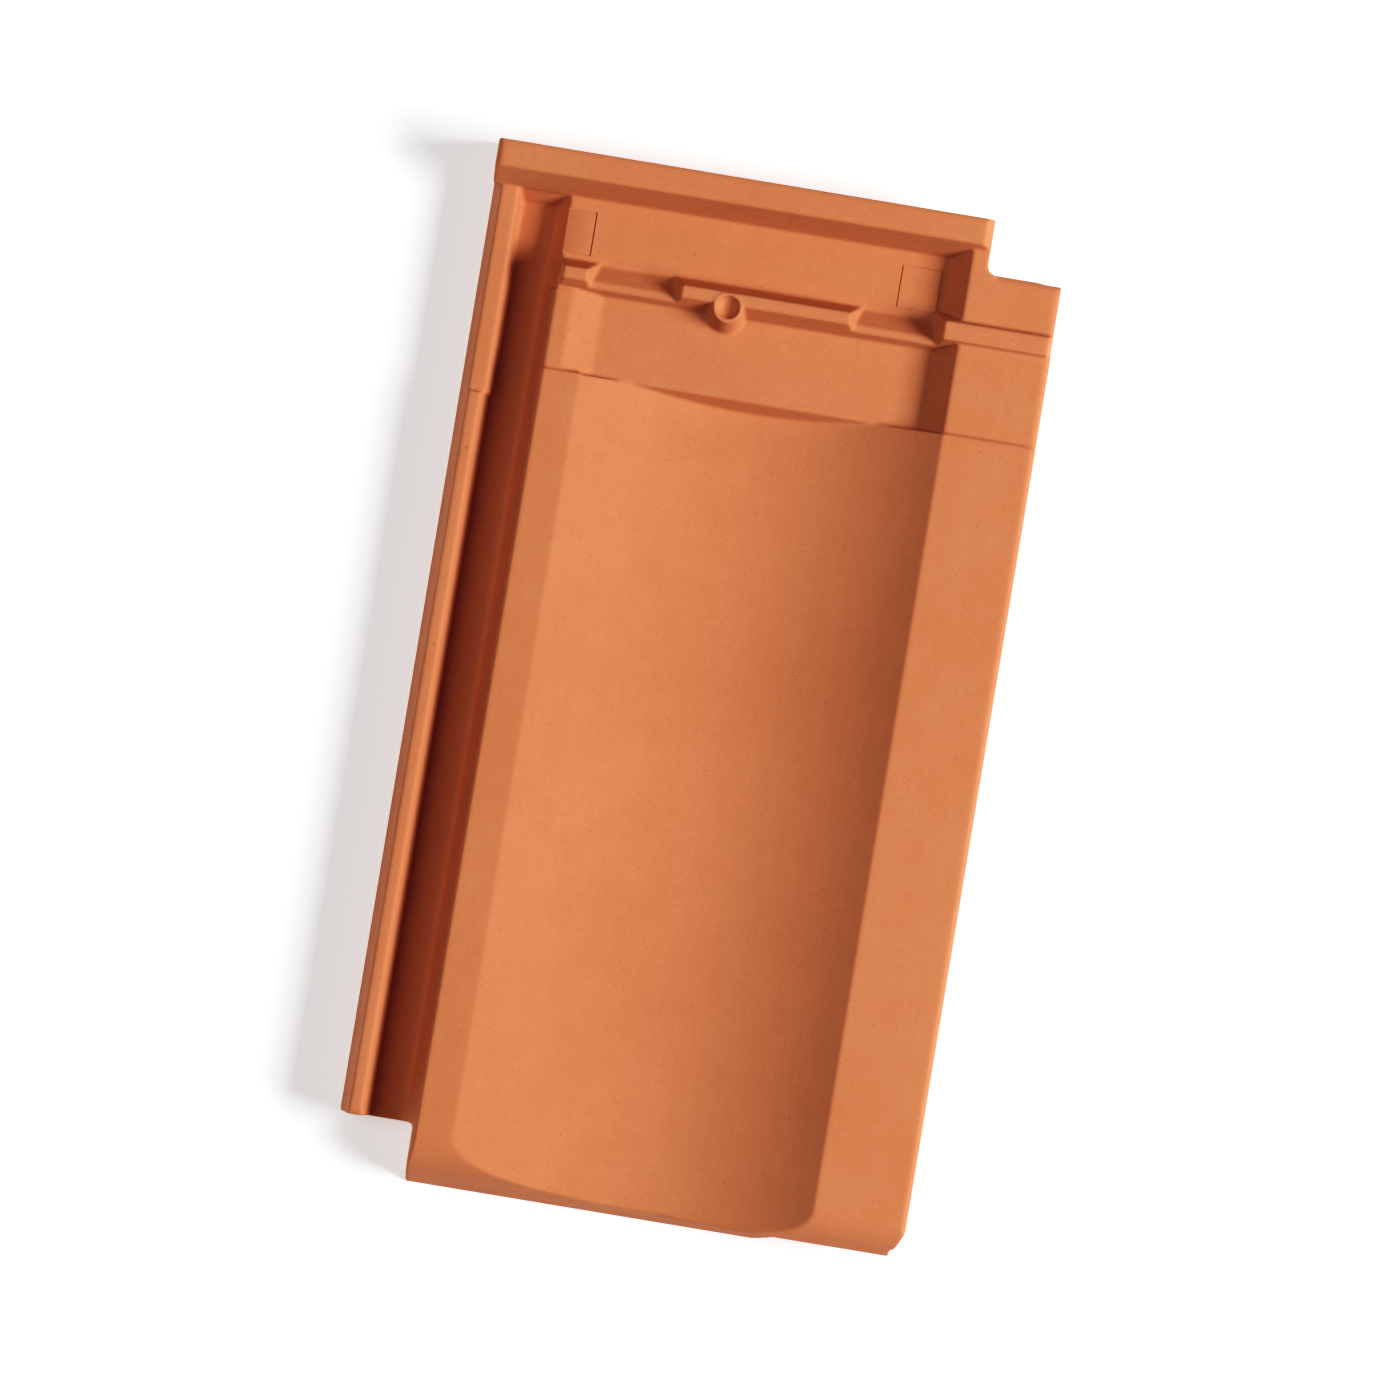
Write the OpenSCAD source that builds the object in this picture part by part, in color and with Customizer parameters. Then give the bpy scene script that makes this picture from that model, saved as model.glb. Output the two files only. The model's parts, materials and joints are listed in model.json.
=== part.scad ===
// Interlocking clay pan tile, pressed and fired in one piece.
// It lies face up: x runs from the channel side to the cover flap, y from the foot to the head, z up.
// A pressed tile is the clay left between an upper die, a lower die and the trim line, so its body is
// the overlap of three solids. Heights are measured from the top of the strip beside the channel.

/* [Tile] */
// Width over all
tile_w = 270; // [236:1:320]
// Length over all
tile_l = 488.5; // [405:0.5:580]
// Thickness of the clay under the trough and the head pan, measured straight down
web = 12; // [9:0.5:16]
// Radius of the pressed edges
edge_r = 1.2; // [0.8:0.1:2]
// Radius of the hollow corners between them
hollow_r = 3.5; // [2:0.5:5]

/* [Channel side] */
// Width of the side lock, from the outer face to the inner edge of the channel
lock_w = 37.2; // [34:0.2:46]
// Width of the outer rib's sloped outer face
rib_face = 4.6; // [2:0.2:6]
// Width of the outer rib's top
rib_top = 6.2; // [5:0.2:10]
// How much wider the outer rib's top is at the head end
rib_grow = 1.4; // [0:0.2:3]
// Width of the outer rib's steep inner face
rib_flank = 3.2; // [2:0.2:9]
// Width of the steep wall on the inner side of the channel
channel_wall = 6; // [3:0.5:8]
// Depth of the channel below the strip
channel_depth = 25.5; // [18:0.5:30]
// Depth of the channel where it meets the head rib
channel_head_depth = 22.5; // [11:0.5:24]
// How far the outer rib's top lies below the strip
rib_sink = 7; // [2:0.5:8]
// How far the outer rib steps down towards the head
rib_step = 2.5; // [1:0.2:4]
// Distance of that step from the head
rib_step_in = 118; // [80:1:160]
// Thickness of the clay under the channel
channel_web = 9; // [8:0.5:12]
// How far the side lock stops short of the foot
lock_foot = 28.1; // [15:0.1:40]

/* [Trough] */
// Width of the flat strip between the channel and the trough
strip_w = 17.5; // [10:0.5:26]
// Depth of the trough below the strip
trough_depth = 17; // [12:0.5:24]
// Sideways shift of the deepest line from the middle of the trough
low_shift = -1; // [-10:0.5:10]
// Width of the hollow bend on the channel side of the deepest line
left_bend = 60; // [20:1:80]
// Width of the hollow bend on the flap side of the deepest line
right_bend = 85; // [30:1:86]

/* [Cover flap] */
// Width of the cover flap
flap_w = 43.6; // [38:0.2:56]
// How far the flap's top stands above the strip
flap_rise = 8; // [6:0.5:12]
// Gap between the flap and the neighbour's strip that it covers
lap_gap = 0.7; // [0.5:0.1:2]
// Width of the flap that reaches past the neighbour's channel
flap_over = 4.3; // [2:0.1:10]
// Radius along the flap's free upper edge
flap_edge = 3; // [1:0.5:5]
// Gap between the flap and the neighbour's outer rib
rib_gap = 3; // [1:0.5:5]
// How far the flap's rib reaches down into the neighbour's channel
flap_rib = 12; // [8:0.5:14]

/* [Head lock] */
// Width of the head rib's top
head_top = 12.5; // [8:0.5:18]
// Width of the slope from the head rib down to the head channel
head_slope = 8; // [5:0.5:12]
// Height of the head rib above the strip
head_rise = 9; // [6:0.5:13]
// Width of the head channel's floor
head_channel = 29.3; // [20:0.1:40]
// Depth of the head channel below the strip
head_depth = 10; // [5:0.1:12]
// Length of the head pan below the cross rib
pan_l = 37.6; // [24:0.1:60]
// Depth of the head pan below the strip
pan_depth = 7.2; // [5:0.1:11]
// Width of the flat beside the head pan
pan_strip = 8.3; // [5:0.1:12]
// Width of the head pan's flank on the channel side
pan_flank = 14.5; // [10:0.5:20]
// Width of the head pan's flank on the flap side
pan_wall = 10.5; // [8:0.5:16]
// Width of the head channel's right wall
bed_wall = 9; // [7:0.5:14]
// How far the head end lies below the rest of the strip and the flap
head_sink = 2; // [0.6:0.2:3]
// How far the flap stops short of the head
flap_head = 25.4; // [20:0.2:34]
// Length of the head rib that runs on past the trough's edge
head_over = 7.8; // [4:0.2:12]

/* [Cross rib] */
// Width of the cross rib over both slopes
cross_w = 15; // [13:0.1:20]
// Width of the slope from the cross rib's pads down to the head pan
pad_foot = 5.6; // [4:0.2:7]
// Width of the slope from the cross rib's pads down to the head channel
pad_head = 4; // [3:0.2:6]
// Height of the pads above the strip
pad_rise = 5.9; // [4:0.1:9]
// Depth of the ledge between the pads, below the strip
ledge_depth = 0.5; // [0:0.5:3]
// Width of the ledge
ledge_w = 3; // [2:0.1:5]
// How far the pad on the flap stands above the head end of the flap
flap_pad = 3; // [1:0.1:4]
// How much further towards the head than on the other pads its foot end and its head end lie
flap_pad_foot = 0.6; // [0:0.2:3]
flap_pad_in = 3.6; // [1:0.2:5]
// How far the flap lies lower between this pad and the head
flap_sink = 2.5; // [0:0.5:3]
// Width of the pads' end faces
pad_end = 4.4; // [3:0.2:6]
// Places of the pads across the tile: width of the first, start and width of the second
first_pad = 14; // [8:0.5:20]
mid_pad_in = 40.5; // [30:0.5:50]
mid_pad_w = 80; // [50:1:85]
// How far the pad on the flap reaches out over the trough's edge
last_pad_in = 8; // [5:0.5:12]

/* [Nail boss] */
// Distance of the boss from the start of the second pad
boss_in = 22.5; // [15:0.5:40]
// Distance of the boss from the foot of the cross rib
boss_y = 4.2; // [2:0.1:6]
// Radius of the boss at its top
boss_r = 6.4; // [6.2:0.1:8]
// Radius of the boss at its foot
boss_foot_r = 9.6; // [8:0.2:12]
// How far the boss leans back from its foot, in degrees
boss_lean = 12; // [0:1:15]
// Radius of the nail cup's mouth
cup_r = 5.6; // [3:0.1:5.8]
// Depth of the nail cup, which is blind
cup_depth = 5; // [3:0.5:8]

/* [Foot] */
// Radius with which the strip turns down at the foot
foot_r = 19; // [14:0.5:24]
// How far the strip turns down
foot_drop = 21.5; // [14:0.5:22]
// Radius with which the flap turns down at the foot
flap_r = 14; // [10:0.5:20]
// How far the flap turns down
flap_drop = 13.5; // [10.5:0.5:14]
// How far the lip leans out at its lower edge
lip = 3; // [1:0.5:6]
// Height of the lip
lip_h = 9; // [4:0.5:9]
// Thickness of the apron that closes the foot
apron_t = 12; // [9:0.5:18]
// How far the apron under the flap hangs down below the strip
flap_apron = 18; // [8:1:24]
// Plan size of the corner cut from the flap's foot
corner_cut = 6.5; // [3:0.5:10]

/* [Underside] */
// Width of each batten nib
nib_w = 34; // [20:1:50]
// Thickness of each batten nib
nib_t = 14; // [10:0.5:20]
// Distance of the nibs' batten face from the head
nib_in = 38; // [30:1:60]
// Distance of each nib from the side of the head pan
nib_side = 16; // [8:1:30]
// How far the nibs and the apron reach below the lowest clay between them
stand = 2.5; // [2:0.5:8]

/* [Hidden] */
$fn = 48;
clay = [0.82, 0.46, 0.29];

// Solids that cut or join run on past the face they meet by this much
over = 1;
// Depth and height to which the dies' solids are drawn
deep = 60;
// Height of the boss above the pad
boss_proud = 0.5;
// How much of the boss's top is cut off on its head side
boss_cut = 0.4;
// Number of straight pieces in each hollow bend, in each pressed edge and in the channel's rise
bend_steps = 24;
edge_steps = 3;
rise_steps = 8;
// Step of the arcs in degrees
arc_step = 7.5;

// Places across the tile
x_rib = rib_face + rib_top;
x_channel = x_rib + rib_flank;
x_wall = lock_w - channel_wall;
x_left = lock_w + strip_w;
x_right = tile_w - flap_w;
x_low = (x_left + x_right) / 2 + low_shift;
// The strip's turn-down at the foot gives way to the flap's here, with a small step in the trough's edge
x_seam = x_low + 15;
// Side face of the strip where the side lock has stopped, near the foot
x_side = lock_w - 1.9;
x_pan = lock_w + pan_strip;
x_head_end = x_right + head_over;
x_mid_pad = x_left + mid_pad_in;
// The neighbour's outer face comes here when the two tiles lie side by side
x_next = tile_w - lock_w - flap_over;

// Places along the tile
y_head_rib = tile_l - head_top - head_slope;
y_cross = y_head_rib - head_channel;
y_pan = y_cross - cross_w;
y_step = y_pan - pan_l;
// Run of the slope where the trough drops away from the head pan
step_run = 5.5;
y_rib_step = tile_l - rib_step_in;
// The channel reaches its full depth here, beside the cross rib
y_channel = y_cross - 5;
y_boss = y_pan + boss_y;
y_flap_end = tile_l - flap_head;
// Run of the short slopes at the head end of the channel and where the head end is sunk
ramp = 6;
sink_run = 1;
// How strongly the channel's rise is hollowed
rise_power = 2.7;
// Steepest slope where the strip and the flap turn down, and lean of the face below, as run over rise
foot_tilt = 65;
flap_tilt = 60;
face_lean = 0.04;
// Length of the cut at the flap's foot corner
corner_l = 2.5 * corner_cut;
// Inner radius of the notch beside the head rib, and round of the side lock at its foot
notch_r = 4.2;
lock_round = 4;
// Distance of the pads' outer ends from the tile's edges, and of the ledge's slope from the pads' slopes
pad_edge = 2;
ledge_in = 1;
// Run and drop of the leaning end of the flap at the head, and radius of the head rib's outer end
flap_lean = 2.5;
head_end_r = 3.5;
// Radius along the head rib's outer edge
head_edge = 2.5;
// Half the run of the flap's root below, and run of its tongue's flanks
root_wall = 3;
tongue_side = 2;
// Run of the slope from the channel's underside to the web, and lead of the web's step over the face's
lock_slope = 7;
web_shift = 4;
// Length of the apron's level edge on the flap side of the trough
apron_flat = 62;

// Heights
z_rib = -rib_sink;
z_rib_head = z_rib - rib_step;
z_pan = -pan_depth;
z_bed = -head_depth;
z_flap = flap_rise;
z_flap_head = z_flap - head_sink;
z_flap_bed = z_flap_head - flap_sink;
z_flap_under = lap_gap;
z_over_rib = z_rib + rib_gap;
z_under_lock = -channel_depth - channel_web;
// The outer rib's face stands upright below this height
z_foot = z_under_lock + 2;
z_boss = pad_rise + boss_proud;
z_floor = -max(trough_depth + web, channel_depth + channel_web) - stand;

// Height above the deepest line, s away from it: a hollow bend that runs on into a straight flank
function flank_z(s, run, rise, bend) =
    let (b = min(bend, run), k = rise / (b * (2 * run - b)))
    s <= b ? k * s * s : k * b * (2 * s - b);

function unit(v) = v / norm(v);

// A line whose sharp corners are turned into rounds, smaller where a side is short. Where the line
// turns clockwise the round has radius out_r, and where it turns the other way in_r.
function soft(line, out_r, in_r) = [for (i = [0 : len(line) - 1])
    let (p = line[i])
    each i == 0 || i == len(line) - 1 ? [p] :
        let (
            back = line[i - 1] - p, on = line[i + 1] - p,
            half = acos(max(-1, min(1, unit(back) * unit(on)))) / 2,
            r = cross(-back, on) < 0 ? out_r : in_r,
            reach = min(r / tan(half), 0.45 * norm(back), 0.45 * norm(on))
        )
        half > 80 ? [p] : [for (k = [0 : edge_steps])
            let (t = k / edge_steps) p + (1 - t) * (1 - t) * reach * unit(back) + t * t * reach * unit(on)]];

// Height of the trough at x
function trough_z(x) = x < x_low
    ? flank_z(x_low - x, x_low - x_left, trough_depth, left_bend) - trough_depth
    : flank_z(x - x_low, x_right - x_low, trough_depth + flap_rise, right_bend) - trough_depth;

// The trough's line, lowered by drop, with points only where it bends
function trough_line(drop) =
    let (a = min(left_bend, x_low - x_left), b = min(right_bend, x_right - x_low))
    [for (i = [-bend_steps : bend_steps])
        let (x = x_low + (i < 0 ? a : b) * i / bend_steps) [x, trough_z(x) - drop]];

// The side lock's line, from the outer face to the channel, with the outer rib's top at the given
// height and the rib's inner flank shifted by grow
function lock_line(top, grow) =
    let (lean = rib_flank / (z_rib + channel_depth))
    [[0, z_foot], [rib_face * (top - z_foot) / (z_rib - z_foot), top],
        [x_rib + grow + lean * (z_rib - top), top], [x_channel + grow, -channel_depth],
        [x_wall, -channel_depth]];

// The flap's line, from the trough to its rounded free edge
function flap_line(top) = concat([[x_right, top]], [for (a = [90 : -arc_step : 0])
    [tile_w - flap_edge + flap_edge * cos(a), top - flap_edge + flap_edge * sin(a)]]);

// The lip, the leaning face above it, and the turn-down from a flat top, which is steepest at its
// lower end, as [y, z] points
function foot_line(top, drop, r, tilt) =
    let (
        z_lip = min(z_floor + lip_h, -foot_drop - over),
        y0 = lip + face_lean * (top - drop - z_lip),
        rise = drop - r * (1 - cos(tilt)),
        y1 = y0 + rise / tan(tilt) + r * sin(tilt)
    )
    concat([[0, z_floor], [lip, z_lip], [y0, top - drop]],
        [for (a = [tilt : -arc_step : 0]) [y1 - r * sin(a), top - r * (1 - cos(a))]],
        [[y1 + over, top], [y1 + over, deep], [tile_l, deep]]);

// A line drawn as a polygon that runs on to the given height behind it
module section(line, behind, out_r, in_r) {
    polygon(soft(concat([[line[0][0], behind]], line, [[line[len(line) - 1][0], behind]]), out_r, in_r));
}

// A line across the tile, drawn from y0 to y1 with the clay below it
module stretch(y0, y1, line) {
    translate([0, y1, 0]) rotate([90, 0, 0]) linear_extrude(y1 - y0) section(line, -deep, edge_r, hollow_r);
}

// A line on the underside, drawn from y0 to y1 with the clay above it
module stretch_over(y0, y1, line) {
    translate([0, y1, 0]) rotate([90, 0, 0]) linear_extrude(y1 - y0) section(line, deep, hollow_r, edge_r);
}

// A line along the tile, given as [y, z] points, drawn from x0 to x1 with the clay below it
module across(x0, x1, line) {
    translate([x0, 0, 0]) rotate([90, 0, 90]) linear_extrude(x1 - x0) section(line, -deep, edge_r, hollow_r);
}

// Everything below the upper face
module below_upper_die() {
    main = concat([[lock_w, 0], [x_left, 0]], trough_line(0), flap_line(z_flap));
    pan = concat([[lock_w, -head_sink], [x_pan, -head_sink], [x_pan + pan_flank, z_pan],
        [x_right - pan_wall, z_pan]], flap_line(z_flap_head));
    bed = concat([[lock_w, z_bed], [x_right - bed_wall, z_bed]], flap_line(z_flap_bed));
    lock_head = lock_line(z_rib_head, rib_grow);
    stretch(0, y_rib_step, concat(lock_line(z_rib, 0), main));
    stretch(y_rib_step, y_step, concat(lock_head, main));
    stretch(y_step, y_pan, concat(lock_head, pan));
    stretch(y_pan, tile_l, concat(lock_head, bed));
    // The flap keeps its height up to the pad on it
    stretch(y_pan, y_pan + pad_foot, concat([[x_right - bed_wall, z_bed]], flap_line(z_flap_head)));
    // The short slopes where the strip, the trough and the flap drop to the head end
    across(lock_w + edge_r, x_left, [[y_step, -over], [y_step, 0], [y_step + sink_run, -head_sink]]);
    across(x_left, x_right, [[y_step - step_run, -trough_depth - over], [y_step, z_pan], [y_pan, z_pan]]);
    across(x_right + edge_r, tile_w - flap_edge,
        [[y_step, 0], [y_step, z_flap], [y_step + sink_run, z_flap_head]]);
    channel_rise();
    head_rib();
    cross_rib();
}

// The floor of the channel rises in a hollow curve to the head rib
module channel_rise() {
    run = y_head_rib - ramp - y_channel;
    rise = channel_depth - channel_head_depth;
    across(x_rib, lock_w + over, concat([for (i = [0 : rise_steps])
        let (t = i / rise_steps) [y_channel + run * t, -channel_head_depth - rise * pow(1 - t, rise_power)]],
        [[y_head_rib + over, z_bed + over], [tile_l, z_bed]]));
}

// The rib along the head, with a round at its outer end
module head_rib() {
    intersection() {
        across(0, x_head_end, concat([[y_head_rib, z_bed], [y_head_rib + head_slope, head_rise]],
            [for (a = [90 : -arc_step : 0])
                [tile_l - head_edge * (1 - cos(a)), head_rise - head_edge * (1 - sin(a))]]));
        stretch(0, tile_l + over, concat([for (a = [180 : -arc_step : 90])
            [head_end_r * (1 + cos(a)), head_rise - head_end_r * (1 - sin(a))]],
            [[x_head_end - head_end_r, head_rise], [x_head_end, z_flap_bed]]));
    }
}

// The rib between the head channel and the head pan: a ledge, with three pads that stand higher
module cross_rib() {
    z_ledge = -ledge_depth;
    y_ledge = y_pan + pad_foot * (z_ledge - z_pan) / (pad_rise - z_pan);
    across(lock_w, x_right - over,
        [[y_pan, z_pan], [y_ledge, z_ledge], [y_ledge + ledge_w, z_ledge], [y_cross - ledge_in, z_bed]]);
    // The first pad's left end is steeper, because the channel's wall follows there
    pad(lock_w + pad_edge, lock_w + first_pad, pad_rise, 0.8 * pad_edge, 0, 0);
    pad(x_mid_pad, x_mid_pad + mid_pad_w, pad_rise, pad_end, 0, 0);
    pad(x_right - last_pad_in, tile_w - pad_edge, z_flap_head + flap_pad, pad_end,
        flap_pad_foot, flap_pad_in);
}

// One pad: a ridge across the tile, cut off by its two sloped end faces. Its left end face is
// left_end wide, and its two slopes are shifted towards the head by the last two values.
module pad(x0, x1, top, left_end, foot_shift, head_shift) {
    y0 = y_pan + foot_shift;
    y1 = y_cross + head_shift;
    intersection() {
        across(x0 - left_end, x1 + pad_end,
            [[y0, z_pan], [y0 + pad_foot, top], [y1 - pad_head, top], [y1, z_bed]]);
        stretch(y0 - over, y1 + over,
            [[x0 - left_end, z_bed], [x0, top], [x1, top], [x1 + pad_end, z_bed]]);
    }
}

// Everything above the lower face
module above_lower_die() {
    flap_root = [[x_right - root_wall, z_flap - 2 * web], [x_right + root_wall, z_over_rib]];
    // Over the neighbour's outer rib, down into its channel, and out over its strip
    flap_tongue = [[x_next + x_channel - tongue_side, z_over_rib],
        [x_next + x_channel, z_flap_under - flap_rib],
        [x_next + x_wall - tongue_side, z_flap_under - flap_rib],
        [x_next + x_wall, z_flap_under], [tile_w + over, z_flap_under]];
    under_flap = concat(flap_root, flap_tongue);
    under_lock = [[-over, z_under_lock], [lock_w + over, z_under_lock]];
    stretch_over(0, apron_t, [[0, z_floor], [x_low + apron_flat, z_floor], [x_right, -flap_apron],
        [tile_w - corner_cut, -flap_apron], [tile_w - corner_cut + over, z_flap_under],
        [tile_w + over, z_flap_under]]);
    stretch_over(apron_t, y_step + web_shift,
        concat(under_lock, [[lock_w + lock_slope, -web], [x_left, -web]], trough_line(web), under_flap));
    stretch_over(y_step + web_shift, tile_l, concat(under_lock, [[lock_w + lock_slope, z_pan - web],
        [x_right - pan_wall, z_pan - web]], under_flap));
}

// The outline that the clay is trimmed to, and the rounds that turn it down at the foot
module trim_line() {
    intersection() {
        translate([0, 0, -deep]) linear_extrude(2 * deep) outline();
        union() {
            across(-over, x_side, concat([for (a = [180 : -arc_step : 90])
                [lock_foot + lock_round * (1 + cos(a)), z_rib - lock_round * (1 - sin(a))]],
                [[lock_foot + lock_round, deep], [tile_l, deep]]));
            across(x_side, x_seam + over, foot_line(0, foot_drop, foot_r, foot_tilt));
            across(x_seam, tile_w + over, foot_line(z_flap, flap_drop, flap_r, flap_tilt));
        }
        union() {
            across(-over, x_head_end + notch_r, [[-over, deep - over], [tile_l + over, deep - over]]);
            across(x_head_end + notch_r - over, tile_w + over,
                [[-over, deep - over], [y_flap_end - flap_lean, deep - over],
                    [y_flap_end - flap_lean, z_flap_bed], [y_flap_end, z_flap_bed - flap_lean]]);
        }
    }
}

module outline() {
    difference() {
        square([tile_w, tile_l]);
        translate([-over, -over]) square([x_side + over, lock_foot + over]);
        difference() {
            translate([x_head_end, y_flap_end]) square([tile_w, flap_head + over]);
            difference() {
                translate([x_head_end - over, y_flap_end - over]) square(notch_r + over);
                translate([x_head_end + notch_r, y_flap_end + notch_r]) circle(notch_r);
            }
        }
        polygon([[tile_w - corner_cut, -over], [tile_w - corner_cut, over], [tile_w, corner_l],
            [tile_w + over, corner_l], [tile_w + over, -over]]);
    }
}

module nibs() {
    for (x = [x_pan + nib_side, x_right - nib_side - nib_w])
        translate([x, tile_l - nib_in, z_floor]) cube([nib_w, nib_t, z_pan - web / 2 - z_floor]);
}

// A cone that leans against the pad, cut off level at its top and not coming through to the pad's
// head side
module boss() {
    height = z_boss - z_pan + web / 2;
    intersection() {
        translate([x_mid_pad + boss_in, y_boss, z_boss]) rotate([-boss_lean, 0, 0])
            translate([0, 0, -height]) cylinder(h = height + 2 * over, r1 = boss_foot_r, r2 = boss_r);
        translate([0, 0, z_boss - deep]) cube([tile_w, y_boss + boss_r - boss_cut, deep]);
    }
}

// The blind cup in the boss, a hollow part of a ball, where the fixing nail is started
module nail_cup() {
    ball_r = (cup_r * cup_r + cup_depth * cup_depth) / (2 * cup_depth);
    translate([x_mid_pad + boss_in, y_boss, z_boss - cup_depth + ball_r]) sphere(r = ball_r);
}

module roof_tile() {
    color(clay) translate([-tile_w / 2, -tile_l / 2, -z_floor]) difference() {
        union() {
            intersection() {
                below_upper_die();
                above_lower_die();
                trim_line();
            }
            nibs();
            boss();
        }
        nail_cup();
    }
}

roof_tile();
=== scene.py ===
# %% [markdown]
# A clay roof tile, made as one piece: soft clay is pressed between two dies, trimmed, dried and fired.
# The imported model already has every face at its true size, so it is loaded first as a fixed frame.
# What is left to do here is what the press and the kiln do: the edges go soft, the fired skin gets
# its grain, pits and cloudy colour, and the tile is lit and looked at from above.

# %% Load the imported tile
import json
from math import cos, radians, sin

import bpy
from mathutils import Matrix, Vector

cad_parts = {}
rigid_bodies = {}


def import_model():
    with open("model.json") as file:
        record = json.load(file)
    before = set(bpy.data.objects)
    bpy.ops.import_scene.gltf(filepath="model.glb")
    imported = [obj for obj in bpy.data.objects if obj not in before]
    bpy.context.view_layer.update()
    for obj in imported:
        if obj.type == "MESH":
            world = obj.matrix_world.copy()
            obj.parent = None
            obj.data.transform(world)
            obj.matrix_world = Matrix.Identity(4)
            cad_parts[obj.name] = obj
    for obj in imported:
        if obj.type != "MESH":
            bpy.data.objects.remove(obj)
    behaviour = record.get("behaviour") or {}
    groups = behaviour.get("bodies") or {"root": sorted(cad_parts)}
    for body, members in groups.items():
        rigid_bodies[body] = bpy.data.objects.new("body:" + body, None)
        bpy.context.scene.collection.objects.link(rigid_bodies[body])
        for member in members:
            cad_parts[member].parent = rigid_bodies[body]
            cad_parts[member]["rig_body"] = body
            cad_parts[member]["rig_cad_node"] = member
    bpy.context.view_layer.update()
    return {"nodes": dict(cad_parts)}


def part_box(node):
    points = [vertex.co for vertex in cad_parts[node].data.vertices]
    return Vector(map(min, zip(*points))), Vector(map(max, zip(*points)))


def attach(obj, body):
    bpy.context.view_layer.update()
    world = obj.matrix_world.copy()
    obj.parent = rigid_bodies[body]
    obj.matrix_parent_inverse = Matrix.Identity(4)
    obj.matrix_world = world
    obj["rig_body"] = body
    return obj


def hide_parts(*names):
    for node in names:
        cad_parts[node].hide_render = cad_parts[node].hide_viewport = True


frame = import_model()
MM = 0.001
low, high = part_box("roof_tile")
width, length, height = high - low
print(f"the tile is {width / MM:.0f} x {length / MM:.0f} x {height / MM:.1f} mm")

# %% [markdown]
# Sizes that the press gives: the radius of its worn edges comes from the voxel size and the number
# of smoothing passes. A voxel remesh melts every edge by about the same amount, where a bevel would
# stop at the many short edges around the pads and the nail boss.

# %% Sizes of the finish
VOXEL = 0.8 * MM
SMOOTH_PASSES = 5
SMOOTH_FACTOR = 0.5
MOST_TRIANGLES = 185_000
SHARP_EDGE = radians(50)


def at(x, y, z):
    """A point measured from the tile's channel side, its foot and the level floor, in millimetres."""
    return Vector((low.x + x * MM, low.y + y * MM, low.z + z * MM))


def only(piece):
    """Selects this piece alone and makes it active."""
    if bpy.context.object and bpy.context.object.mode != "OBJECT":
        bpy.ops.object.mode_set(mode="OBJECT")
    bpy.ops.object.select_all(action="DESELECT")
    piece.select_set(True)
    bpy.context.view_layer.objects.active = piece


def take_away(cutter, piece, name):
    """Cuts one closed shape out of the piece and removes the shape."""
    only(piece)
    cut = piece.modifiers.new(name, "BOOLEAN")
    cut.operation = "DIFFERENCE"
    cut.object = cutter
    cut.solver = "EXACT"
    bpy.ops.object.modifier_apply(modifier=cut.name)
    bpy.data.objects.remove(cutter)


# %% [markdown]
# The tile's copy. The frame's own mesh is loose triangles and stays as it is, so a duplicate is
# taken and its doubled points are merged. It could also be drawn afresh, but then two shapes
# would have to be kept alike by hand.

# %% Copy the tile
only(frame["nodes"]["roof_tile"])
bpy.ops.object.duplicate()
tile = bpy.context.object
tile.name = tile.data.name = "pressed_tile"
bpy.ops.object.parent_clear(type="CLEAR_KEEP_TRANSFORM")
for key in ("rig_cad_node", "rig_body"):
    del tile[key]
bpy.ops.object.mode_set(mode="EDIT")
bpy.ops.mesh.select_all(action="SELECT")
bpy.ops.mesh.remove_doubles(threshold=0.001 * MM)
bpy.ops.object.mode_set(mode="OBJECT")
print(f"the copy has {len(tile.data.vertices)} points")

# %% [markdown]
# The edge at the foot. The turn-down of the left strip and that of the flap meet under the trough. The
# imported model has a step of 2 mm in its edge there, which a real tile doesn't have, so only this copy
# is mended. A block laid on the steeper slope, and turned a little outwards, takes off a corner on
# the flap side that gets smaller and smaller, so that the edge runs on.

# %% Fade the step at the foot
# The lower end of the strip's slope, where the flap's turn-down takes over
SLOPE_FOOT = at(154.55, 3.26, 15.5)
SLOPE_TILT = radians(65)
FADE_TURN = radians(9)
# The block's size, and where it begins: along the edge, up the slope and out from it
FADE = Vector((44, 19, 6)) * MM
FADE_START = Vector((-0.4, -1, 0)) * MM
bpy.ops.mesh.primitive_cube_add(size=1)
wedge = bpy.context.object
wedge.scale = FADE
wedge.location = FADE / 2 + FADE_START
bpy.ops.object.transform_apply(location=True, rotation=True, scale=True)
wedge.rotation_euler = (SLOPE_TILT, 0, -FADE_TURN)
wedge.location = SLOPE_FOOT
bpy.ops.object.transform_apply(location=True, rotation=True, scale=True)
take_away(wedge, tile, "fade")
print(f"{len(tile.data.polygons)} faces after the cut at the foot")

# %% [markdown]
# Soft edges. Damp clay leaves the press with edges worn round by a millimetre or more. The copy is
# remeshed on a fine grid, smoothed a few passes, and thinned out again where it is flat.

# %% Soften the edges
only(tile)
grid = tile.modifiers.new("grid", "REMESH")
grid.mode = "VOXEL"
grid.voxel_size = VOXEL
bpy.ops.object.modifier_apply(modifier=grid.name)
soft = tile.modifiers.new("soft", "SMOOTH")
soft.factor = SMOOTH_FACTOR
soft.iterations = SMOOTH_PASSES
bpy.ops.object.modifier_apply(modifier=soft.name)
triangles = 2 * len(tile.data.polygons)
thin = tile.modifiers.new("thin", "DECIMATE")
thin.ratio = min(1.0, MOST_TRIANGLES / triangles)
bpy.ops.object.modifier_apply(modifier=thin.name)
print(f"{triangles} triangles thinned to {len(tile.data.polygons)}")

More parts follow.
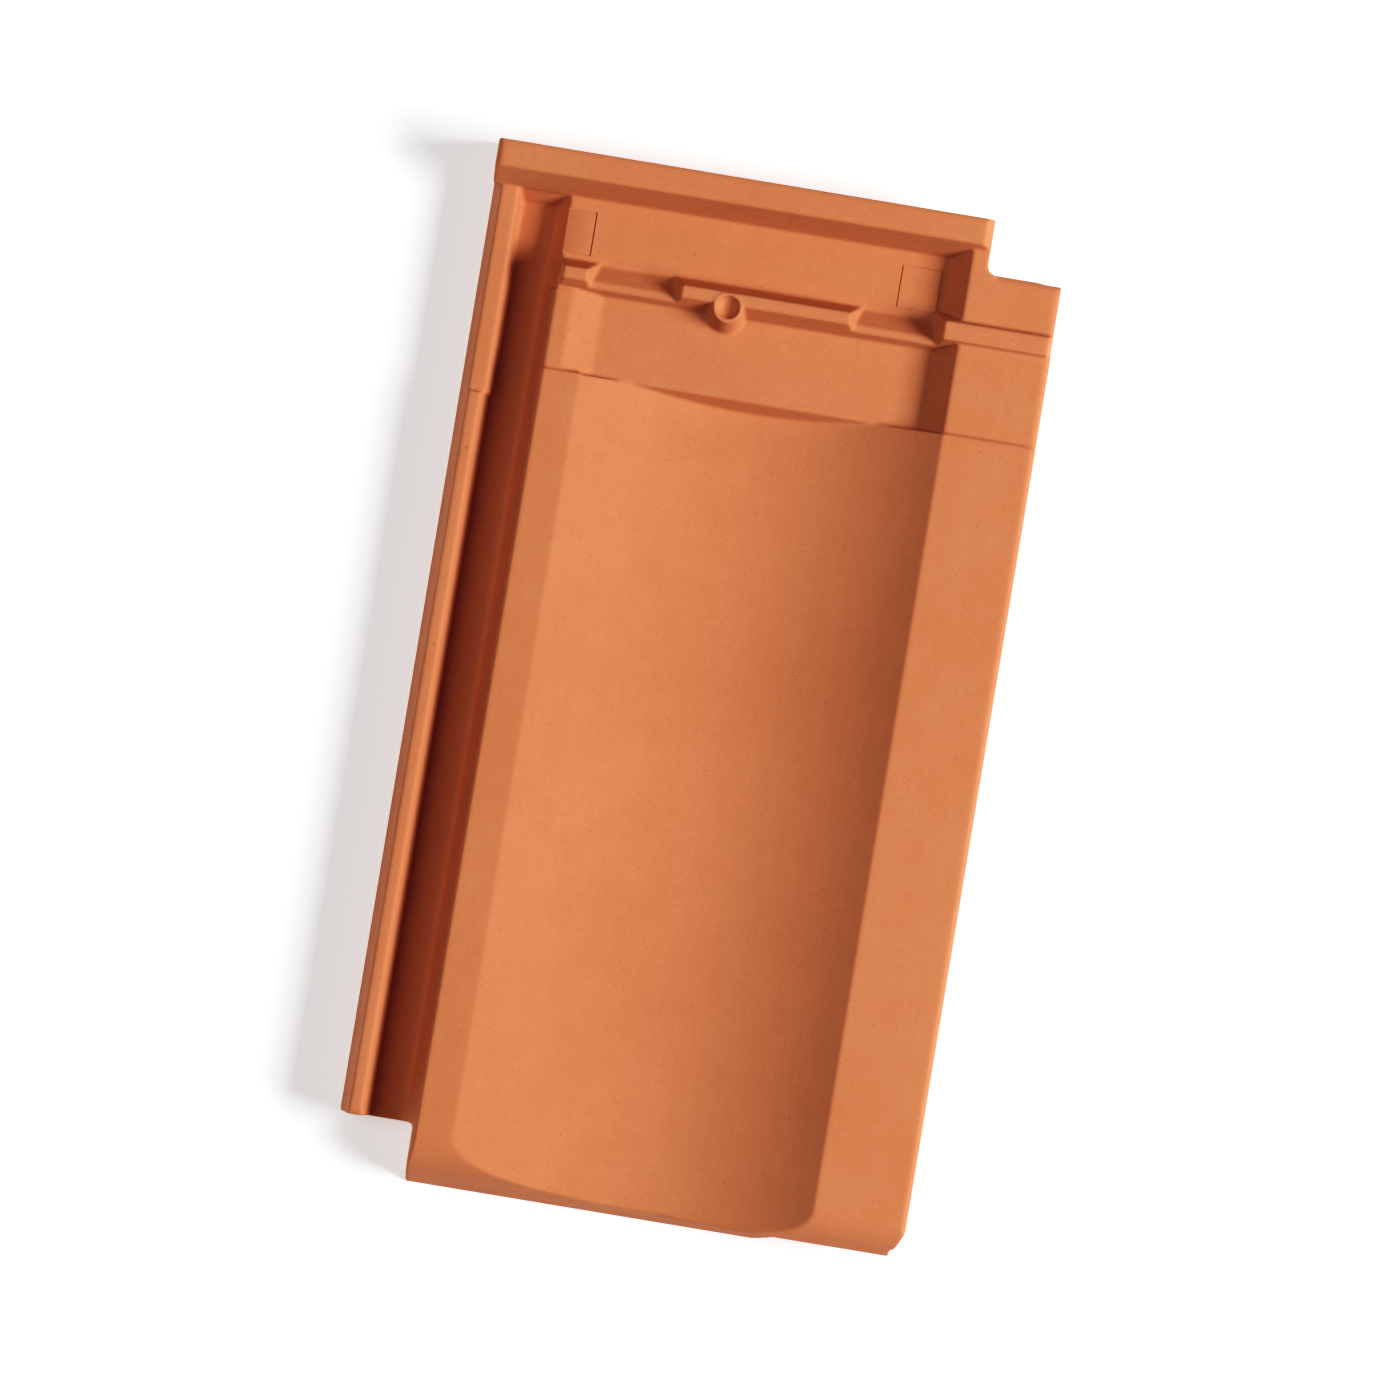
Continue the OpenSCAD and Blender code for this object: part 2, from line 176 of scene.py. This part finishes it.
# %% [markdown]
# Two bare plaques lie in the floor of the head channel, where a press sets its removable dies. Each
# is a block of the die, so it leaves a shallow bed and a finer joint all round it. Both are taken
# away from the clay by a block and a ring. This is done after the softening, which would melt
# anything this shallow.

# %% Sink the plaques
# In millimetres: the head channel's floor above the level floor, the joint round a plaque, the height
# of a cutter, and each plaque's two sides, its foot and head ends and its depth
HEAD_BED = 27.0
JOINT = 0.6
JOINT_DEPTH = 0.75
CUTTER = 3.0
PLAQUES = {
    "left_plaque": (30.0, 50.7, 441.4, 462.2, 0.45),
    "right_plaque": (195.0, 214.4, 441.2, 461.8, 0.3),
}


def sink(name, box, depth, ring):
    """Takes a block this deep, or only a ring along its rim, away from the head channel's floor."""
    x0, x1, y0, y1 = box
    bpy.ops.object.select_all(action="DESELECT")
    bpy.ops.mesh.primitive_plane_add(size=1, location=at((x0 + x1) / 2, (y0 + y1) / 2, HEAD_BED - depth))
    cutter = bpy.context.object
    cutter.scale = ((x1 - x0) * MM, (y1 - y0) * MM, 1)
    bpy.ops.object.transform_apply(location=True, rotation=True, scale=True)
    bpy.ops.object.mode_set(mode="EDIT")
    bpy.ops.mesh.select_all(action="SELECT")
    if ring:
        bpy.ops.mesh.inset(thickness=JOINT * MM, depth=0)
        bpy.ops.mesh.delete(type="FACE")
        bpy.ops.mesh.select_all(action="SELECT")
    bpy.ops.mesh.extrude_region_move(TRANSFORM_OT_translate={"value": (0, 0, CUTTER * MM)})
    bpy.ops.mesh.select_all(action="SELECT")
    bpy.ops.mesh.normals_make_consistent(inside=False)
    bpy.ops.object.mode_set(mode="OBJECT")
    take_away(cutter, tile, name)


for name, (*box, depth) in PLAQUES.items():
    sink(name, box, depth, ring=False)
    sink(name + "_joint", box, JOINT_DEPTH, ring=True)
    print(f"{name} is {depth} mm deep")
only(tile)
bpy.ops.object.shade_smooth_by_angle(angle=SHARP_EDGE)
print(f"{len(tile.data.polygons)} faces")

# %% [markdown]
# The fired skin. Each effect is its own group of nodes with named sockets, so it can be tried and
# reused alone: cloudy tone from the kiln's flame, dark specks and pits of burnt grit, the mottle of
# the clay's own colour, and the fine grain of the sanded clay, which is only height.

# %% Helpers for the node groups


def new_group(name, inputs, outputs):
    """A shader node group with these sockets; inputs are (name, type, default)."""
    group = bpy.data.node_groups.new(name, "ShaderNodeTree")
    for title, kind, default in inputs:
        socket = group.interface.new_socket(name=title, in_out="INPUT", socket_type=kind)
        if default is not None:
            socket.default_value = default
    for title, kind in outputs:
        group.interface.new_socket(name=title, in_out="OUTPUT", socket_type=kind)
    return group, group.nodes.new("NodeGroupInput"), group.nodes.new("NodeGroupOutput")


def noise(group, vector, scale, detail=2.0, roughness=0.5):
    """A noise texture on this vector."""
    node = group.nodes.new("ShaderNodeTexNoise")
    node.inputs["Scale"].default_value = scale
    node.inputs["Detail"].default_value = detail
    node.inputs["Roughness"].default_value = roughness
    group.links.new(vector, node.inputs["Vector"])
    return node.outputs["Fac"]


def ramp(group, value, start, end, to_low=0.0, to_high=1.0, smooth=True):
    """A value mapped from start..end to to_low..to_high and kept inside it."""
    node = group.nodes.new("ShaderNodeMapRange")
    if smooth:
        node.interpolation_type = "SMOOTHSTEP"
    for socket, number in zip(("From Min", "From Max", "To Min", "To Max"), (start, end, to_low, to_high)):
        node.inputs[socket].default_value = number
    group.links.new(value, node.inputs["Value"])
    return node.outputs["Result"]


def math(group, operation, a, b):
    """One sum on two values, each a socket or a number."""
    node = group.nodes.new("ShaderNodeMath")
    node.operation = operation
    for socket, value in zip(node.inputs, (a, b)):
        if isinstance(value, (int, float)):
            socket.default_value = value
        else:
            group.links.new(value, socket)
    return node.outputs["Value"]


# %% [markdown]
# Cloudy tone: broad clouds a hand wide where the flame ran hotter, and smaller ones the size of a
# thumb. Two noises added up give both, and one mask comes out, around a half.

# %% Cloudy tone
# A noise stays near a half, so this middle part of it is stretched to the whole range
MIDDLE = (0.3, 0.7)
# Scales are in features a metre
BROAD_CLOUDS = 9
SMALL_CLOUDS = 60

clouds, clouds_in, clouds_out = new_group(
    "kiln_clouds",
    [("Place", "NodeSocketVector", None),
     ("Broad", "NodeSocketFloat", 0.6),
     ("Small", "NodeSocketFloat", 0.4)],
    [("Tone", "NodeSocketFloat")],
)
spot = clouds_in.outputs["Place"]
broad = math(clouds, "MULTIPLY", noise(clouds, spot, BROAD_CLOUDS, 2), clouds_in.outputs["Broad"])
small = math(clouds, "MULTIPLY", noise(clouds, spot, SMALL_CLOUDS, 3, 0.6), clouds_in.outputs["Small"])
tone = math(clouds, "ADD", broad, small)
clouds.links.new(ramp(clouds, tone, *MIDDLE), clouds_out.inputs["Tone"])

# %% [markdown]
# Specks: small spots of burnt grit, few and far between, and pits where a grain has dropped out.
# Cells from a Voronoi texture give one spot at most in each, and a random number per cell keeps
# only a share of them.

# %% Specks and pits
specks, specks_in, specks_out = new_group(
    "grit_specks",
    [("Place", "NodeSocketVector", None),
     ("Scale", "NodeSocketFloat", 300.0),
     ("Size", "NodeSocketFloat", 0.18),
     ("Share", "NodeSocketFloat", 0.1)],
    [("Speck", "NodeSocketFloat")],
)
cells = specks.nodes.new("ShaderNodeTexVoronoi")
specks.links.new(specks_in.outputs["Place"], cells.inputs["Vector"])
specks.links.new(specks_in.outputs["Scale"], cells.inputs["Scale"])
pick = specks.nodes.new("ShaderNodeSeparateColor")
specks.links.new(cells.outputs["Color"], pick.inputs["Color"])
kept = math(specks, "LESS_THAN", pick.outputs["Red"], specks_in.outputs["Share"])
reach = math(specks, "MULTIPLY", specks_in.outputs["Size"], math(specks, "ADD", pick.outputs["Green"], 0.3))
near = math(specks, "SUBTRACT", 1.0, math(specks, "DIVIDE", cells.outputs["Distance"], reach))
shown = math(specks, "MULTIPLY", ramp(specks, near, 0.0, 0.6), kept)
specks.links.new(shown, specks_out.inputs["Speck"])

# %% [markdown]
# Grain: the height of the fine sandy skin, with soft dents a few millimetres wide under it. It
# feeds a bump, because its relief is a few hundredths of a millimetre.

# %% Grain
SAND = 1400
DENTS = 160

grain, grain_in, grain_out = new_group(
    "clay_grain",
    [("Place", "NodeSocketVector", None),
     ("Sand", "NodeSocketFloat", 0.5),
     ("Dents", "NodeSocketFloat", 1.0)],
    [("Height", "NodeSocketFloat")],
)
spot = grain_in.outputs["Place"]
sand = math(grain, "MULTIPLY", noise(grain, spot, SAND, 3, 0.7), grain_in.outputs["Sand"])
dents = math(grain, "MULTIPLY", noise(grain, spot, DENTS, 2), grain_in.outputs["Dents"])
grain.links.new(math(grain, "ADD", sand, dents), grain_out.inputs["Height"])

# %% [markdown]
# Mottle: the fine unevenness of the clay's own colour, a millimetre or two wide, and faint streaks
# along the tile where the clay was drawn out before it was pressed. It comes out around a half.

# %% Mottle
SPOTS = 620
STREAKS = 240
# Draws the streaks out along the tile
STRETCH = (1, 0.06, 1)

mottle, mottle_in, mottle_out = new_group(
    "clay_mottle",
    [("Place", "NodeSocketVector", None),
     ("Spots", "NodeSocketFloat", 0.75),
     ("Streaks", "NodeSocketFloat", 0.25)],
    [("Tone", "NodeSocketFloat")],
)
drawn = mottle.nodes.new("ShaderNodeMapping")
drawn.inputs["Scale"].default_value = STRETCH
spot = mottle_in.outputs["Place"]
mottle.links.new(spot, drawn.inputs["Vector"])
spots = math(mottle, "MULTIPLY", noise(mottle, spot, SPOTS, 3, 0.6), mottle_in.outputs["Spots"])
drawn_out = noise(mottle, drawn.outputs["Vector"], STREAKS, 2)
streaks = math(mottle, "MULTIPLY", drawn_out, mottle_in.outputs["Streaks"])
mottle.links.new(ramp(mottle, math(mottle, "ADD", spots, streaks), *MIDDLE), mottle_out.inputs["Tone"])

# %% [markdown]
# The fired clay itself: natural red, unglazed and matte. The clouds mix a lighter and a darker red, the
# mottle and the grit specks darken it, each pit is darkened as painted shade in its hollow, and the grain
# and the pits make the height.

# %% Fired clay
CLAY = (0.585, 0.204, 0.095, 1.0)
CLAY_DARK = (0.548, 0.185, 0.083, 1.0)
SPECK = (0.2, 0.06, 0.03, 1.0)
# How far the darkest mottle and a fine speck go towards the speck's colour, and how far a pit goes, as
# painted shade in its hollow
MOTTLE_DARK = 0.11
FINE_DARK = 0.28
PIT_SHADE = 0.5
# Roughness of dark and of light clay, and its faint sheen
ROUGH = (0.8, 0.72)
SHEEN = 0.15
# The relief of the grain, and a pit's depth as a share of it
RELIEF = 0.12 * MM
RELIEF_STRENGTH = 0.6
PIT_DEPTH = 1.5

clay = bpy.data.materials.new("fired_clay")
clay.use_nodes = True
tree = clay.node_tree
skin = tree.nodes["Principled BSDF"]
place = tree.nodes.new("ShaderNodeTexCoord").outputs["Object"]


def effect(group, **values):
    """Puts a node group in the clay, on the object's own coordinates."""
    node = tree.nodes.new("ShaderNodeGroup")
    node.node_tree = group
    tree.links.new(place, node.inputs["Place"])
    for title, number in values.items():
        node.inputs[title].default_value = number
    return node


def blend(mask, first, second):
    """Two colours mixed by a mask; each is a socket or a colour."""
    node = tree.nodes.new("ShaderNodeMix")
    node.data_type = "RGBA"
    tree.links.new(mask, node.inputs["Factor"])
    for socket, value in ((node.inputs["A"], first), (node.inputs["B"], second)):
        if isinstance(value, tuple):
            socket.default_value = value
        else:
            tree.links.new(value, socket)
    return node.outputs["Result"]


cloud = effect(clouds).outputs["Tone"]
fine_specks = effect(specks, Scale=520.0, Size=0.3, Share=0.1).outputs["Speck"]
big_specks = effect(specks, Scale=110.0, Size=0.08, Share=0.05).outputs["Speck"]
fine_dark = math(tree, "MULTIPLY", fine_specks, FINE_DARK)
# The pits' darker colour is painted shade in their hollows; the fine specks are the grit's own colour
pit_shade = math(tree, "MULTIPLY", big_specks, PIT_SHADE)
grit_and_pit_shade = math(tree, "MAXIMUM", fine_dark, pit_shade)
body = blend(cloud, CLAY_DARK, CLAY)
uneven = ramp(tree, effect(mottle).outputs["Tone"], 0.0, 1.0, MOTTLE_DARK, 0.0, smooth=False)
colour = blend(grit_and_pit_shade, blend(uneven, body, SPECK), SPECK)
tree.links.new(colour, skin.inputs["Base Color"])
tree.links.new(ramp(tree, cloud, 0.0, 1.0, *ROUGH), skin.inputs["Roughness"])
skin.inputs["Specular IOR Level"].default_value = SHEEN

bump = tree.nodes.new("ShaderNodeBump")
bump.inputs["Strength"].default_value = RELIEF_STRENGTH
bump.inputs["Distance"].default_value = RELIEF
pits = math(tree, "MULTIPLY", big_specks, PIT_DEPTH)
pitted = math(tree, "SUBTRACT", effect(grain).outputs["Height"], pits)
tree.links.new(pitted, bump.inputs["Height"])
tree.links.new(bump.outputs["Normal"], skin.inputs["Normal"])
tile.data.materials.clear()
tile.data.materials.append(clay)
print("fired clay on", tile.name)

# %% [markdown]
# The tile takes its place in the frame: it rides on the one body, and stands for the plain solid.

# %% Tie the tile to the frame
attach(tile, "root")
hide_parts("roof_tile")

# %% [markdown]
# The stage: a plain pale floor, a broad main lamp low on the cover-flap side so that the ribs throw
# soft shadows across the tile, a weak broad fill lamp on the channel side, and a faint even sky.

# %% Floor and lamps
FLOOR_SIZE = 6
FLOOR_GREY = 0.95
FLOOR_ROUGHNESS = 0.9
FLOOR_GLOW = 0.32
LAMP_DISTANCE = 4.0
SKY = 0.03

bpy.ops.object.select_all(action="DESELECT")
bpy.ops.mesh.primitive_plane_add(size=FLOOR_SIZE, location=(0, 0, low.z))
floor = bpy.context.object
floor.name = "floor"
paper = bpy.data.materials.new("pale_floor")
paper.use_nodes = True
sheet = paper.node_tree.nodes["Principled BSDF"].inputs
sheet["Base Color"].default_value = (FLOOR_GREY, FLOOR_GREY, FLOOR_GREY, 1)
sheet["Roughness"].default_value = FLOOR_ROUGHNESS
sheet["Emission Color"].default_value = (1, 1, 1, 1)
sheet["Emission Strength"].default_value = FLOOR_GLOW
floor.data.materials.append(paper)


def soft_lamp(name, side, height, size, power):
    """A broad lamp at this side and angle above the floor, turned to the tile."""
    place = Vector((side * cos(height), 0, sin(height))) * LAMP_DISTANCE
    bpy.ops.object.light_add(type="AREA", location=place)
    lamp = bpy.context.object
    lamp.name = name
    lamp.data.shape = "RECTANGLE"
    lamp.data.size, lamp.data.size_y = size
    lamp.data.energy = power
    lamp.rotation_euler = (-place).to_track_quat("-Z", "Y").to_euler()


soft_lamp("main_lamp", 1, radians(37), (1.9, 1.5), 215)
soft_lamp("fill_lamp", -1, radians(58), (2.2, 2.6), 45)

sky = bpy.data.worlds.new("sky")
bpy.context.scene.world = sky
sky.use_nodes = True
sky.node_tree.nodes["Background"].inputs["Color"].default_value = (1, 1, 1, 1)
sky.node_tree.nodes["Background"].inputs["Strength"].default_value = SKY

# %% [markdown]
# The picture's tones: a film-like curve, soft in the lights and firm in the darks, so that shaded
# clay turns a deeper red. Its formula gives the curve's points; a ready-made film look would turn
# the pale floor grey.

# %% Tones
# The curve's height, its power, what the light to that power is at half the height, and black's tone
FILM_TOP = 1.5
FILM_POWER = 1.5
FILM_HALF = 0.535
FILM_BASE = 0.003
FILM_STEPS = 16
# Sets the curve's points closer together in the darks
CROWDING = 1.5
view = bpy.context.scene.view_settings
view.view_transform = "Standard"
view.look = "None"
view.use_curve_mapping = True
curve = view.curve_mapping.curves[3]
curve.points[0].location = (0, FILM_BASE)
for i in range(1, FILM_STEPS + 1):
    x = (i / FILM_STEPS) ** CROWDING
    y = min(1.0, FILM_BASE + FILM_TOP * x**FILM_POWER / (x**FILM_POWER + FILM_HALF))
    if i < FILM_STEPS:
        curve.points.new(x, y)
    else:
        curve.points[-1].location = (1, y)
view.curve_mapping.update()
print(f"{len(curve.points)} points in the tone curve")

# %% [markdown]
# The camera hangs far above the tile with a long lens, so the ribs don't lean, and is rolled a
# little, which shows the tile turned clockwise.

# %% Camera
CAMERA_HEIGHT = 4.8
FRAME_SPAN = 0.651
SENSOR = 36
ROLL = radians(9.45)
AIM = 1.25 * MM
bpy.ops.object.camera_add(location=(0, AIM, CAMERA_HEIGHT), rotation=(0, 0, ROLL))
camera = bpy.context.object
camera.name = "camera"
camera.data.sensor_width = SENSOR
camera.data.lens = camera.data.sensor_width * (CAMERA_HEIGHT - high.z) / FRAME_SPAN
camera.data.clip_end = 20
bpy.context.scene.camera = camera
print(f"lens {camera.data.lens:.0f} mm")

# %% The end
bpy.context.view_layer.update()
